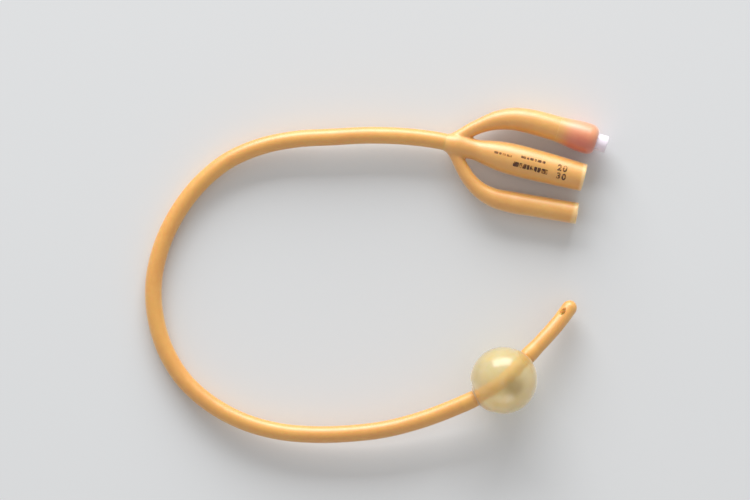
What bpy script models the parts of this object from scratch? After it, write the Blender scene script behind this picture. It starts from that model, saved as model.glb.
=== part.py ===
# Three-way Foley catheter, lying in a C on a table with its balloon filled.
# Metres, +Z up. +X runs along the drain funnel, out of its mouth. The origin is at table height,
# under the middle of the whole part. Plan positions are measured from the junction, the point
# where the shaft leaves the funnel. Drain, rinse and fill are its three ways: the drainage funnel,
# the irrigation arm and the inflation arm.

import math

import bmesh
import bpy
import numpy as np
from mathutils import Matrix, Vector

MM = 0.001

# Where the junction lies, seen from the origin.
JUNCTION_X = 18.24 * MM
JUNCTION_Y = 54.51 * MM

# Gaps between pieces that seat on each other.
LATEX_GAP = 0.3 * MM
VALVE_GAP = 0.1 * MM

# Shaft. Size 20 on the French scale, which counts thirds of a millimetre.
SHAFT_DIAMETER = 6.67 * MM
TIP_DIAMETER = 6.1 * MM
TIP_DOME = 3.4 * MM
TIP_FLAT = 0.4 * MM
SHAFT_STEP = 8.0 * MM

# Lumens lie side by side across the shaft: rinse on the inside of the C, then drain, then fill.
DRAIN_LUMEN = 2.3 * MM
RINSE_LUMEN = 1.1 * MM
FILL_LUMEN = 0.7 * MM
LUMEN_WEB = 0.3 * MM
SEAT_WALL = 0.35 * MM

# Eyes near the tip. Roll is about the shaft: 0 faces up, 90 the inside of the C.
EYE_LENGTH = 2.5 * MM
EYE_WIDTH = 1.6 * MM
FIRST_EYE_FROM_TIP = 6.8 * MM
FIRST_EYE_ROLL = 28
SECOND_EYE_FROM_TIP = 12.1 * MM
SECOND_EYE_ROLL = 208
RINSE_EYE_LENGTH = 2.0 * MM
RINSE_EYE_WIDTH = 1.2 * MM
RINSE_EYE_FROM_TIP = 16.1 * MM
FILL_HOLE = 0.8 * MM

# Balloon
BALLOON_DIAMETER = 26.5 * MM
BALLOON_WALL = 0.4 * MM
CUFF_LENGTH = 5.0 * MM
CUFF_WALL = 0.25 * MM
CUFF_FLARE = 0.6 * MM
CUFF_SWELL = 0.36 * MM
SEAT_EDGE = 0.15 * MM

# Hub and socket, where the funnel is moulded round the end of the shaft.
SOCKET_DEPTH = 4.5 * MM
COLLAR_LENGTH = 0.5 * MM
COLLAR_WALL = 0.35 * MM
HUB_AT = 2.8 * MM
HUB_WALL = 1.0 * MM

# Drain funnel
DRAIN_LENGTH = 56.0 * MM
NECK_AT = 11.5 * MM
NECK_DIAMETER = 8.2 * MM
BELLY_AT = 28.5 * MM
BELLY_BORE = 7.7 * MM
BELLY_WALL = 2.45 * MM
DRAIN_BORE = 8.3 * MM
DRAIN_WALL = 1.35 * MM

# Rinse arm
RINSE_ROOT_BORE = 1.8 * MM
RINSE_ROOT_WALL = 1.7 * MM
RINSE_BORE = 6.5 * MM
RINSE_WALL = 1.05 * MM
RINSE_PAST_DRAIN = 0.9 * MM
RINSE_STRAIGHT = 27.0 * MM
RINSE_SIDE = -16.5 * MM
RINSE_ANGLE = 4.7
RINSE_FLARE = 20.0 * MM
RINSE_SOCKET = 12.0 * MM

# Fill arm
FILL_ROOT_BORE = 1.0 * MM
FILL_ROOT_WALL = 2.25 * MM
FILL_WALL = 1.8 * MM
FILL_SHORT_OF_DRAIN = 1.2 * MM
FILL_SIDE = 16.0 * MM
VALVE_ANGLE = -3.5

# Where the side arms' bores turn out of the hub, and where they have joined the arms' own lines.
RINSE_BORE_TURN = (5.0 * MM, -3.7 * MM)
FILL_BORE_TURN = (5.0 * MM, 3.9 * MM)
BORE_JOINS_ARM = 7.0 * MM

# Colour sleeve
SLEEVE_LENGTH = 15.8 * MM
SLEEVE_WALL = 0.75 * MM
SLEEVE_EDGE = 0.25 * MM
SLEEVE_END_WALL = 0.6 * MM
SLEEVE_SHOULDER = 3.8 * MM
SLEEVE_TAPER = 1.4

# Valve body. Lengths along the valve are measured from the end of the fill arm, outward.
STEM_LENGTH = 12.2 * MM
STEM_DIAMETER = 5.4 * MM
BARB_HEIGHT = 0.25 * MM
BARB_LENGTH = 1.8 * MM
BARB_STEP = 0.05 * MM
BARB_PLACES = (3.5 * MM, 7.5 * MM)
FLANGE_DIAMETER = 9.4 * MM
FLANGE_THICKNESS = 1.0 * MM
LUER_DIAMETER = 6.7 * MM
LUER_REACH = 6.6 * MM
LUER_CHAMFER = 0.35 * MM
LUER_BORE = 4.3 * MM
LUER_DEPTH = 7.5 * MM
LUER_TAPER = 0.06
LEDGE_BORE = 2.2 * MM
LEDGE_THICKNESS = 0.8 * MM
CHAMBER_BORE = 3.8 * MM

# Plunger, seal, spring and retainer
PLUNGER_STEM = 1.5 * MM
PLUNGER_REACH = 1.5 * MM
PLUNGER_HEAD = 3.0 * MM
PLUNGER_HEAD_THICKNESS = 0.8 * MM
PLUNGER_TAIL = 1.2 * MM
PLUNGER_TAIL_LENGTH = 1.4 * MM
PLUNGER_EDGE = 0.2 * MM
FLUTE_DIAMETER = 0.7 * MM
FLUTE_COUNT = 4
SEAL_DIAMETER = 3.2 * MM
SEAL_THICKNESS = 1.0 * MM
RETAINER_BORE = 1.4 * MM
RETAINER_THICKNESS = 1.2 * MM
SPRING_DIAMETER = 2.5 * MM
SPRING_WIRE = 0.28 * MM
SPRING_TURNS = 5.5

# How far a cutter runs past the face that it opens, and how near points are before they are one.
OVERCUT = 1.0 * MM
WELD = 0.001 * MM

# How finely lines are followed and round things are cut.
LINE_STEP = 0.4 * MM
TANGENT_REACH = 0.5 * MM
SHAFT_SIDES = 12
ARM_SIDES = 20
BORE_SIDES = 16
LUMEN_SIDES = 8
ARM_STEP = 3.5 * MM
VALVE_STEPS = 24
POINTS_PER_TURN = 10

# The shaft's route, in millimetres from the junction: x, y, and how high it lies as a share of the
# way from resting on the table up to the hub's height, or to the balloon's middle.
ROUTE_FROM_HUB = [
    (4.2, 0.0, 1.0),
    (-2.0, -0.05, 1.0),
    (-10.0, -0.8, 1.03),
    (-17.0, -1.9, 1.07),
    (-30.8, -5.0, 1.13),
    (-44.4, -9.2, 1.1),
    (-58.1, -13.6, 0.93),
    (-70.9, -19.8, 0.66),
    (-82.0, -28.4, 0.36),
    (-90.4, -39.7, 0.12),
    (-96.1, -52.8, 0.0),
    (-99.0, -66.6, 0.0),
    (-98.8, -80.9, 0.0),
    (-94.9, -94.5, 0.0),
    (-87.6, -106.9, 0.0),
]
ROUTE_TO_BALLOON = [
    (-77.2, -116.9, 0.04),
    (-64.7, -123.3, 0.13),
    (-51.0, -126.7, 0.23),
    (-36.7, -127.1, 0.31),
    (-22.8, -124.9, 0.38),
    (-9.1, -121.0, 0.44),
    (4.3, -115.8, 0.51),
    (16.8, -108.9, 0.6),
    (28.4, -100.8, 0.74),
    (37.2, -93.6, 0.88),
    (44.8, -85.3, 1.0),
]
ROUTE_TO_TIP = [
    (51.1, -74.6, 0.93),
    (56.2, -65.7, 0.73),
    (60.0, -58.5, 0.5),
    (63.1, -51.2, 0.25),
    (64.1, -48.5, 0.17),
]

# The side arms' curves, from the junction to where each arm runs straight: how far along X as a
# share of the way, y in millimetres, how far the arm has come down from the hub's height to lie on
# the table, and how far its radius has grown from root to mouth.
FILL_ARM = [
    (0.024, 0.3, 0.0, 0.0),
    (0.122, 4.2, 0.0, 0.0),
    (0.186, 6.9, 0.0, 0.02),
    (0.277, 9.9, 0.1, 0.12),
    (0.42, 13.5, 0.3, 0.48),
    (0.561, 15.5, 0.5, 0.76),
    (0.716, 16.2, 0.7, 0.92),
    (0.859, 16.2, 0.9, 0.98),
]
RINSE_ARM = [
    (0.033, -0.4, 0.0, 0.0),
    (0.137, -3.4, 0.0, 0.0),
    (0.27, -8.0, 0.05, 0.02),
    (0.413, -12.1, 0.2, 0.1),
    (0.587, -15.1, 0.4, 0.34),
    (0.767, -16.5, 0.6, 0.68),
]


def mix(start, end, share):
    return start + (end - start) * share


def ease(share):
    # Goes from 0 to 1 with no corner at either end.
    share = min(max(share, 0.0), 1.0)
    return share * share * (3 - 2 * share)


# Sizes that follow from the ones above.
SHAFT_RADIUS = SHAFT_DIAMETER / 2
SEAT_DIAMETER = DRAIN_LUMEN + RINSE_LUMEN + FILL_LUMEN + 2 * (LUMEN_WEB + SEAT_WALL)
SEAT_RADIUS = SEAT_DIAMETER / 2
CUFF_RADIUS = SEAT_RADIUS + LATEX_GAP + CUFF_WALL
BALLOON_RADIUS = BALLOON_DIAMETER / 2

# Each lumen's middle, measured from the shaft's own, towards the inside of the C.
RINSE_OFFSET = SEAT_RADIUS - SEAT_WALL - RINSE_LUMEN / 2
DRAIN_OFFSET = RINSE_OFFSET - (RINSE_LUMEN + DRAIN_LUMEN) / 2 - LUMEN_WEB
FILL_OFFSET = DRAIN_OFFSET - (DRAIN_LUMEN + FILL_LUMEN) / 2 - LUMEN_WEB

SOCKET_RADIUS = SHAFT_RADIUS + LATEX_GAP
BELLY_RADIUS = BELLY_BORE / 2 + BELLY_WALL
DRAIN_RADIUS = DRAIN_BORE / 2 + DRAIN_WALL
RINSE_ROOT_RADIUS = RINSE_ROOT_BORE / 2 + RINSE_ROOT_WALL
RINSE_RADIUS = RINSE_BORE / 2 + RINSE_WALL
FILL_ROOT_RADIUS = FILL_ROOT_BORE / 2 + FILL_ROOT_WALL
STEM_SOCKET_RADIUS = STEM_DIAMETER / 2 + BARB_HEIGHT + LATEX_GAP
FILL_RADIUS = STEM_SOCKET_RADIUS + FILL_WALL
SLEEVE_BORE_RADIUS = FILL_RADIUS + LATEX_GAP
SLEEVE_RADIUS = SLEEVE_BORE_RADIUS + SLEEVE_WALL

# Along the valve, from the end of the fill arm.
FLANGE_OUTER = LATEX_GAP + FLANGE_THICKNESS
SLEEVE_END = FLANGE_OUTER + LATEX_GAP + SLEEVE_END_WALL
SLEEVE_START = SLEEVE_END - SLEEVE_LENGTH
LEDGE_OUTER = LUER_REACH - LUER_DEPTH
LEDGE_INNER = LEDGE_OUTER - LEDGE_THICKNESS
SEAL_OUTER = LEDGE_INNER - VALVE_GAP
SEAL_INNER = SEAL_OUTER - SEAL_THICKNESS
HEAD_OUTER = SEAL_INNER - VALVE_GAP
HEAD_INNER = HEAD_OUTER - PLUNGER_HEAD_THICKNESS
RETAINER_OUTER = RETAINER_THICKNESS - STEM_LENGTH

# Heights above the table. The drain funnel's belly, the rinse arm and the colour sleeve lie on it.
HUB_HEIGHT = BELLY_RADIUS
RINSE_HEIGHT = RINSE_RADIUS
FILL_HEIGHT = SLEEVE_RADIUS


class Path:
    # A smooth line through chosen points, found by the distance along it. The first three columns
    # are a place, and any others, such as a radius, are carried along.
    def __init__(self, rows):
        rows = np.array(rows, float)
        chords = np.linalg.norm(np.diff(rows[:, :3], axis=0), axis=1)
        knots = np.concatenate([[0.0], np.cumsum(chords)])
        slopes = np.gradient(rows, knots, axis=0)
        spots = np.linspace(0, knots[-1], int(knots[-1] / LINE_STEP) + 2)
        left = np.clip(np.searchsorted(knots, spots, side="right") - 1, 0, len(chords) - 1)
        span = chords[left][:, None]
        t = (spots[:, None] - knots[left][:, None]) / span
        self.rows = (
            (2 * t**3 - 3 * t**2 + 1) * rows[left]
            + (t**3 - 2 * t**2 + t) * span * slopes[left]
            + (3 * t**2 - 2 * t**3) * rows[left + 1]
            + (t**3 - t**2) * span * slopes[left + 1]
        )
        lengths = np.linalg.norm(np.diff(self.rows[:, :3], axis=0), axis=1)
        self.along = np.concatenate([[0.0], np.cumsum(lengths)])
        self.length = float(self.along[-1])
        self.knot_places = np.interp(knots, spots, self.along)

    def row(self, distance):
        return [float(np.interp(distance, self.along, column)) for column in self.rows.T]

    def at(self, distance):
        # Past either end, the line runs on straight.
        inside = min(max(distance, 0.0), self.length)
        return Vector(self.row(inside)[:3]) + self.tangent(inside) * (distance - inside)

    def tangent(self, distance):
        start = min(max(distance - TANGENT_REACH, 0.0), self.length - 2 * TANGENT_REACH)
        end = start + 2 * TANGENT_REACH
        return (Vector(self.row(end)[:3]) - Vector(self.row(start)[:3])).normalized()

    def left(self, distance):
        return Vector((0, 0, 1)).cross(self.tangent(distance)).normalized()

    def resting(self, radius):
        # Nothing of this radius sinks below the table.
        self.rows[:, 2] = np.maximum(self.rows[:, 2], radius)
        return self

    def stations(self, step):
        count = max(2, round(self.length / step))
        return [self.length * index / count for index in range(count + 1)]


def from_junction(x, y, z):
    return (JUNCTION_X + x, JUNCTION_Y + y, z)


def shaft_route():
    rows = []
    for stretch, top in (
        (ROUTE_FROM_HUB, HUB_HEIGHT),
        (ROUTE_TO_BALLOON, BALLOON_RADIUS),
        (ROUTE_TO_TIP, BALLOON_RADIUS),
    ):
        for x, y, share in stretch:
            rows.append(from_junction(x * MM, y * MM, mix(SHAFT_RADIUS, top, share)))
    return Path(rows).resting(SHAFT_RADIUS)


def arm_path(arm, mouth_x, side, straight, angle, rest_height, root_radius, mouth_radius):
    # The curved stretch, then a straight one that lies level on the table and ends at the mouth.
    turn = math.radians(angle)
    straight_start = mouth_x - math.cos(turn) * straight
    rows = []
    for share, y, settled, grown in arm:
        height = mix(HUB_HEIGHT, rest_height, settled)
        radius = mix(root_radius, mouth_radius, grown)
        rows.append((*from_junction(share * straight_start, y * MM, height), radius))
    for share in (0.0, 0.33, 0.67, 1.0):
        x = straight_start + math.cos(turn) * straight * share
        y = side + math.sin(turn) * straight * share
        rows.append((*from_junction(x, y, rest_height), mouth_radius))
    path = Path(rows)
    return path.resting(path.rows[:, 3])


def new_material(name, colour, roughness, metallic=0.0):
    material = bpy.data.materials.new(name)
    material.use_nodes = True
    shader = material.node_tree.nodes["Principled BSDF"]
    shader.inputs["Base Color"].default_value = (*colour, 1)
    shader.inputs["Roughness"].default_value = roughness
    shader.inputs["Metallic"].default_value = metallic
    return material


def new_object(name, mesh, collection, material=None):
    thing = bpy.data.objects.new(name, mesh)
    collection.objects.link(thing)
    if material:
        mesh.materials.append(material)
        mesh.shade_smooth()
        mesh.set_sharp_from_angle(angle=math.radians(40))
    else:
        thing.hide_render = True
        thing.display_type = "WIRE"
    return thing


def new_mesh(name, shape):
    mesh = bpy.data.meshes.new(name)
    shape.to_mesh(mesh)
    shape.free()
    return mesh


def sweep(name, places, radii, sides, collection, material=None, flat_sided=False):
    # A closed round bar through the places, with a radius at each. A curve is made and becomes a mesh.
    # Flat-sided turns it by half a facet, so that level bars meet at upright facets and not at edges.
    curve = bpy.data.curves.new(name + "_line", "CURVE")
    curve.dimensions = "3D"
    curve.twist_mode = "Z_UP"
    curve.bevel_depth = max(radii)
    curve.bevel_resolution = sides // 2 - 2
    curve.use_fill_caps = True
    curve.render_resolution_u = 0
    spline = curve.splines.new("POLY")
    spline.points.add(len(places) - 1)
    for point, place, radius in zip(spline.points, places, radii):
        point.co = (*place, 1)
        point.radius = radius / curve.bevel_depth
        point.tilt = math.pi / sides if flat_sided else 0.0
    line = bpy.data.objects.new(name + "_line", curve)
    collection.objects.link(line)
    evaluated = line.evaluated_get(bpy.context.evaluated_depsgraph_get())
    mesh = bpy.data.meshes.new_from_object(evaluated)
    mesh.name = name
    shape = bmesh.new()
    shape.from_mesh(mesh)
    bmesh.ops.remove_doubles(shape, verts=shape.verts, dist=WELD)
    bmesh.ops.recalc_face_normals(shape, faces=shape.faces)
    shape.to_mesh(mesh)
    shape.free()
    bpy.data.objects.remove(line)
    bpy.data.curves.remove(curve)
    return new_object(name, mesh, collection, material)


def turned(name, profile, steps, collection, material=None, ring=True):
    # Profile points are (radius, height). A ring closes on itself, a solid piece ends on the axis.
    shape = bmesh.new()
    points = [shape.verts.new((radius, 0, height)) for radius, height in profile]
    for first, second in zip(points, points[1:]):
        shape.edges.new((first, second))
    if ring:
        shape.edges.new((points[-1], points[0]))
    thing = new_object(name, new_mesh(name, shape), collection, material)
    screw = thing.modifiers.new("turn", "SCREW")
    screw.steps = steps
    screw.render_steps = steps
    screw.use_merge_vertices = True
    screw.merge_threshold = WELD
    screw.use_smooth_shade = material is not None
    return thing


def combine(piece, other, operation="DIFFERENCE"):
    step = piece.modifiers.new(f"{operation.lower()}_{other.name}", "BOOLEAN")
    step.operation = operation
    step.object = other
    return piece


def shaft_radius_at(distance, route, seat):
    # Full size up to the balloon's seat, thinner in it, then the tip's size up to the dome.
    from_tip = route.length - distance
    if from_tip < TIP_DOME:
        share = 1 - from_tip / TIP_DOME
        return max(TIP_FLAT / 2, TIP_DIAMETER / 2 * math.sqrt(1 - share * share))
    if distance < seat[0]:
        return SHAFT_RADIUS
    if distance <= seat[1]:
        return SEAT_RADIUS
    return TIP_DIAMETER / 2


def shaft_stations(route, seat):
    # Even steps, a step in size at each end of the seat, and close rings round the dome.
    places = [spot for spot in route.stations(SHAFT_STEP) if spot < route.length - TIP_DOME]
    for end in seat:
        places = [spot for spot in places if abs(spot - end) > SHAFT_STEP / 4]
        places += [end - SEAT_EDGE, end + SEAT_EDGE]
    for angle in (90, 72, 56, 41, 27, 14, 0):
        places.append(route.length - TIP_DOME * (1 - math.cos(math.radians(angle))))
    return sorted(places)


def lumen(name, route, start, end, offset, diameter, stations, collection):
    inner = [spot for spot in stations if start + OVERCUT < spot < end - OVERCUT]
    spots = [start] + inner + [end]
    places = [route.at(spot) + route.left(spot) * offset for spot in spots]
    return sweep(name, places, [diameter / 2] * len(places), LUMEN_SIDES, collection)


def eye_cutter(name, route, distance, offset, roll, length, width, collection):
    # An oval plug that stands on the lumen's middle and reaches out through the wall.
    reach = SHAFT_DIAMETER
    tangent = route.tangent(distance)
    left = route.left(distance)
    up = tangent.cross(left)
    turn = math.radians(roll)
    outward = up * math.cos(turn) + left * math.sin(turn)
    shape = bmesh.new()
    bmesh.ops.create_cone(
        shape, cap_ends=True, segments=BORE_SIDES, radius1=0.5, radius2=0.5, depth=reach
    )
    bmesh.ops.scale(shape, verts=shape.verts, vec=(length, width, 1))
    bmesh.ops.translate(shape, verts=shape.verts, vec=(0, 0, reach / 2))
    cutter = new_object(name, new_mesh(name, shape), collection)
    axes = Matrix((tangent, outward.cross(tangent), outward)).transposed()
    cutter.matrix_world = Matrix.Translation(route.at(distance) + left * offset) @ axes.to_4x4()
    return cutter


def make_shaft(route, balloon_at, collection, cutters, material):
    seat_half = BALLOON_RADIUS + CUFF_LENGTH + LATEX_GAP
    seat = (balloon_at - seat_half, balloon_at + seat_half)
    stations = shaft_stations(route, seat)
    places = [route.at(spot) for spot in stations]
    radii = [shaft_radius_at(spot, route, seat) for spot in stations]
    shaft = sweep("shaft", places, radii, SHAFT_SIDES, collection, material)

    tip = route.length
    openings = [
        ("drain", DRAIN_OFFSET, DRAIN_LUMEN, FIRST_EYE_FROM_TIP, FIRST_EYE_ROLL, EYE_LENGTH, EYE_WIDTH),
        ("rinse", RINSE_OFFSET, RINSE_LUMEN, RINSE_EYE_FROM_TIP, 90, RINSE_EYE_LENGTH, RINSE_EYE_WIDTH),
        ("fill", FILL_OFFSET, FILL_LUMEN, tip - balloon_at, -90, FILL_HOLE, FILL_HOLE),
    ]
    for way, offset, diameter, from_tip, roll, length, width in openings:
        end = tip - from_tip + length / 2
        bore = lumen(f"{way}_lumen", route, -OVERCUT, end, offset, diameter, stations, cutters)
        combine(shaft, bore)
        hole = eye_cutter(f"{way}_eye", route, tip - from_tip, offset, roll, length, width, cutters)
        combine(shaft, hole)
    second = eye_cutter(
        "second_drain_eye", route, tip - SECOND_EYE_FROM_TIP, DRAIN_OFFSET, SECOND_EYE_ROLL,
        EYE_LENGTH, EYE_WIDTH, cutters,
    )
    combine(shaft, second)
    return shaft


def make_balloon(route, balloon_at, collection, cutters, material):
    # A ball with a cuff at each end, hollowed by a smaller ball and by the shaft's own way through.
    middle = route.at(balloon_at)
    middle.z = BALLOON_RADIUS

    def ball(name, radius, where, finish=None):
        shape = bmesh.new()
        bmesh.ops.create_uvsphere(shape, u_segments=32, v_segments=16, radius=radius)
        thing = new_object(name, new_mesh(name, shape), where, finish)
        thing.location = middle
        return thing

    balloon = ball("balloon", BALLOON_RADIUS, collection, material)
    half = BALLOON_RADIUS + CUFF_LENGTH
    flare_start = BALLOON_RADIUS + CUFF_FLARE
    shares = (-1.0, -flare_start / half, -BALLOON_RADIUS / half)
    shares += (-0.66, -0.4, 0.0, 0.4, 0.66)
    shares += tuple(-share for share in reversed(shares[:3]))
    spots = [balloon_at + half * share for share in shares]
    radii = []
    for share in shares:
        inside = (flare_start - abs(share) * half) / CUFF_FLARE
        radii.append(CUFF_RADIUS + CUFF_SWELL * ease(inside))
    places = [route.at(spot) for spot in spots]
    combine(balloon, sweep("cuffs", places, radii, SHAFT_SIDES, cutters), "UNION")
    combine(balloon, ball("balloon_inside", BALLOON_RADIUS - BALLOON_WALL, cutters))

    spots = [spots[0] - OVERCUT] + spots[1:-1] + [spots[-1] + OVERCUT]
    places = [route.at(spot) for spot in spots]
    passage = [SEAT_RADIUS + LATEX_GAP] * len(places)
    combine(balloon, sweep("passage", places, passage, SHAFT_SIDES, cutters))
    return balloon


def drain_arm_path():
    # Collar round the shaft, hub, neck, belly and mouth, all on one straight line.
    collar = SOCKET_RADIUS + COLLAR_WALL
    hub = SOCKET_RADIUS + HUB_WALL
    neck = NECK_DIAMETER / 2
    rows = [(-COLLAR_LENGTH, collar), (HUB_AT, hub), (mix(HUB_AT, NECK_AT, 0.5), mix(hub, neck, 0.6))]
    for share in (0.0, 0.3, 0.55, 0.8, 1.0):
        swell = math.sin(share * math.pi / 2)
        rows.append((mix(NECK_AT, BELLY_AT, share), mix(neck, BELLY_RADIUS, swell)))
    for share in (0.35, 0.7, 1.0):
        taper = 1 - math.cos(share * math.pi / 2)
        rows.append((mix(BELLY_AT, DRAIN_LENGTH, share), mix(BELLY_RADIUS, DRAIN_RADIUS, taper)))
    return Path([(*from_junction(x, 0, HUB_HEIGHT), radius) for x, radius in rows])


def arm_solid(name, path, collection, material=None):
    spots = path.stations(ARM_STEP)
    places = [path.at(spot) for spot in spots]
    radii = [path.row(spot)[3] for spot in spots]
    return sweep(name, places, radii, ARM_SIDES, collection, material, flat_sided=True)


def drain_bore(cutters):
    # Widens from the lumen to the belly, then a little more to the mouth.
    start = SOCKET_DEPTH - OVERCUT
    places = []
    radii = []
    count = round(DRAIN_LENGTH / ARM_STEP)
    for index in range(count + 1):
        x = mix(start, DRAIN_LENGTH + OVERCUT, index / count)
        inner = ease((x - SOCKET_DEPTH) / (BELLY_AT - SOCKET_DEPTH))
        outer = max(0.0, (x - BELLY_AT) / (DRAIN_LENGTH - BELLY_AT))
        sideways = mix(-DRAIN_OFFSET, 0.0, ease((x - SOCKET_DEPTH) / (NECK_AT - SOCKET_DEPTH)))
        places.append(from_junction(x, sideways, HUB_HEIGHT))
        radii.append(mix(DRAIN_LUMEN / 2, BELLY_BORE / 2, inner) + (DRAIN_BORE - BELLY_BORE) / 2 * outer)
    return sweep("drain_bore", places, radii, BORE_SIDES, cutters)


def side_bore(name, arm, offset, lumen_radius, root_radius, turn_in, end, flare, cutters):
    # Leaves the lumen at the socket's floor, joins the arm's own line and follows it to the end.
    # The flare gives where the bore starts to widen, where it stops and the radius it has there.
    rows = [
        from_junction(SOCKET_DEPTH - OVERCUT, -offset, HUB_HEIGHT),
        from_junction(*turn_in, HUB_HEIGHT),
    ]
    joined = JUNCTION_X + BORE_JOINS_ARM
    first = next(spot for spot in arm.stations(ARM_STEP) if arm.at(spot).x > joined)
    spots = [first + index * ARM_STEP for index in range(int((end - first) / ARM_STEP))] + [end]
    rows += [tuple(arm.at(spot)) for spot in spots]
    path = Path(rows)
    flare_start, flare_end, flare_radius = flare
    lead = path.length - (end - first)
    places = []
    radii = []
    for spot in path.stations(ARM_STEP / 1.4):
        on_arm = spot - lead + first
        narrow = mix(lumen_radius, root_radius, ease(spot / lead))
        wide = ease((on_arm - flare_start) / (flare_end - flare_start))
        places.append(path.at(spot))
        radii.append(mix(narrow, flare_radius, wide))
    return sweep(name, places, radii, LUMEN_SIDES + 4, cutters)


def cylinder(name, start, end, radius, cutters):
    return sweep(name, [start, end], [radius, radius], ARM_SIDES, cutters, flat_sided=True)


def make_funnel(fill_arm, rinse_arm, collection, cutters, material):
    funnel = arm_solid("funnel", drain_arm_path(), collection, material)
    combine(funnel, arm_solid("fill_arm", fill_arm, cutters), "UNION")
    combine(funnel, arm_solid("rinse_arm", rinse_arm, cutters), "UNION")

    mouth = Vector(from_junction(-COLLAR_LENGTH - OVERCUT, 0, HUB_HEIGHT))
    floor = Vector(from_junction(SOCKET_DEPTH, 0, HUB_HEIGHT))
    combine(funnel, cylinder("shaft_socket", mouth, floor, SOCKET_RADIUS, cutters))
    combine(funnel, drain_bore(cutters))

    flare = (rinse_arm.length - RINSE_SOCKET - RINSE_FLARE, rinse_arm.length - RINSE_SOCKET, RINSE_BORE / 2)
    combine(funnel, side_bore(
        "rinse_bore", rinse_arm, RINSE_OFFSET, RINSE_LUMEN / 2, RINSE_ROOT_BORE / 2,
        RINSE_BORE_TURN, rinse_arm.length + OVERCUT, flare, cutters,
    ))

    stem_floor = fill_arm.length - STEM_LENGTH - LATEX_GAP
    flare = (stem_floor - OVERCUT, stem_floor, FILL_ROOT_BORE / 2)
    combine(funnel, side_bore(
        "fill_bore", fill_arm, FILL_OFFSET, FILL_LUMEN / 2, FILL_ROOT_BORE / 2,
        FILL_BORE_TURN, stem_floor + OVERCUT, flare, cutters,
    ))
    socket = (fill_arm.at(stem_floor), fill_arm.at(fill_arm.length + OVERCUT))
    combine(funnel, cylinder("stem_socket", *socket, STEM_SOCKET_RADIUS, cutters))
    return funnel


def arc(centre, across, along, start, end, count):
    # Points on an ellipse's arc, such as a shoulder that is longer than it is deep.
    points = []
    for index in range(count + 1):
        angle = math.radians(mix(start, end, index / count))
        points.append((centre[0] + across * math.cos(angle), centre[1] + along * math.sin(angle)))
    return points


def make_sleeve(collection, material):
    # A bulbous cup: it swells from a thin edge, rounds over the shoulder and closes on the luer end.
    hole = LUER_DIAMETER / 2 + LATEX_GAP
    corner = (hole, SLEEVE_END - SLEEVE_SHOULDER)
    profile = arc(corner, SLEEVE_RADIUS - hole, SLEEVE_SHOULDER, 90, 0, 8)
    for share in (0.3, 0.5, 0.7, 0.86, 1.0):
        radius = mix(SLEEVE_RADIUS, SLEEVE_BORE_RADIUS + SLEEVE_EDGE, ease(share) ** SLEEVE_TAPER)
        profile.append((radius, mix(corner[1], SLEEVE_START, share)))
    profile.append((SLEEVE_BORE_RADIUS, SLEEVE_START))
    profile.append((SLEEVE_BORE_RADIUS, SLEEVE_END - SLEEVE_END_WALL - LATEX_GAP))
    profile.append((SLEEVE_BORE_RADIUS - LATEX_GAP, SLEEVE_END - SLEEVE_END_WALL))
    profile.append((hole, SLEEVE_END - SLEEVE_END_WALL))
    return turned("colour_sleeve", profile, VALVE_STEPS, collection, material)


def make_valve_body(collection, material):
    # Luer mouth, flange against the arm's end, barbed stem, spring chamber, ledge and luer cone.
    luer = LUER_DIAMETER / 2
    stem = STEM_DIAMETER / 2
    profile = [(luer - LUER_CHAMFER, LUER_REACH), (luer, LUER_REACH - LUER_CHAMFER)]
    profile += [(luer, FLANGE_OUTER), (FLANGE_DIAMETER / 2, FLANGE_OUTER)]
    profile += [(FLANGE_DIAMETER / 2, LATEX_GAP), (stem, LATEX_GAP)]
    for place in BARB_PLACES:
        profile.append((stem, -place))
        profile.append((stem + BARB_HEIGHT, -place - BARB_STEP))
        profile.append((stem, -place - BARB_LENGTH))
    profile += [(stem, -STEM_LENGTH), (CHAMBER_BORE / 2, -STEM_LENGTH)]
    profile += [(CHAMBER_BORE / 2, LEDGE_INNER), (LEDGE_BORE / 2, LEDGE_INNER)]
    cone_end = LUER_BORE / 2 - LUER_DEPTH * LUER_TAPER / 2
    profile += [(LEDGE_BORE / 2, LEDGE_OUTER), (cone_end, LEDGE_OUTER)]
    profile += [(LUER_BORE / 2, LUER_REACH)]
    return turned("valve_body", profile, VALVE_STEPS, collection, material)


def make_plunger(collection, cutters, material):
    # A stem that the syringe pushes, a head that carries the seal, and a tail inside the spring.
    stem = PLUNGER_STEM / 2
    head = PLUNGER_HEAD / 2
    tail = PLUNGER_TAIL / 2
    top = LEDGE_OUTER + PLUNGER_REACH
    profile = [(0, top), (stem - PLUNGER_EDGE, top), (stem, top - PLUNGER_EDGE), (stem, HEAD_OUTER)]
    profile += [(head, HEAD_OUTER), (head, HEAD_INNER), (tail, HEAD_INNER)]
    profile += [(tail, HEAD_INNER - PLUNGER_TAIL_LENGTH), (0, HEAD_INNER - PLUNGER_TAIL_LENGTH)]
    plunger = turned("valve_plunger", profile, VALVE_STEPS, collection, material, ring=False)
    for index in range(FLUTE_COUNT):
        turn = 2 * math.pi * (index + 0.5) / FLUTE_COUNT
        side = Vector((math.cos(turn), math.sin(turn), 0)) * stem
        flute = sweep(
            f"flute_{index + 1}",
            [side + Vector((0, 0, SEAL_OUTER)), side + Vector((0, 0, top + OVERCUT))],
            [FLUTE_DIAMETER / 2] * 2, LUMEN_SIDES, cutters,
        )
        flute.parent = plunger
        combine(plunger, flute)
    return plunger


def make_ring(name, outer, inner, top, thickness, collection, material):
    profile = [(inner, top), (outer, top), (outer, top - thickness), (inner, top - thickness)]
    return turned(name, profile, VALVE_STEPS, collection, material)


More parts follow.
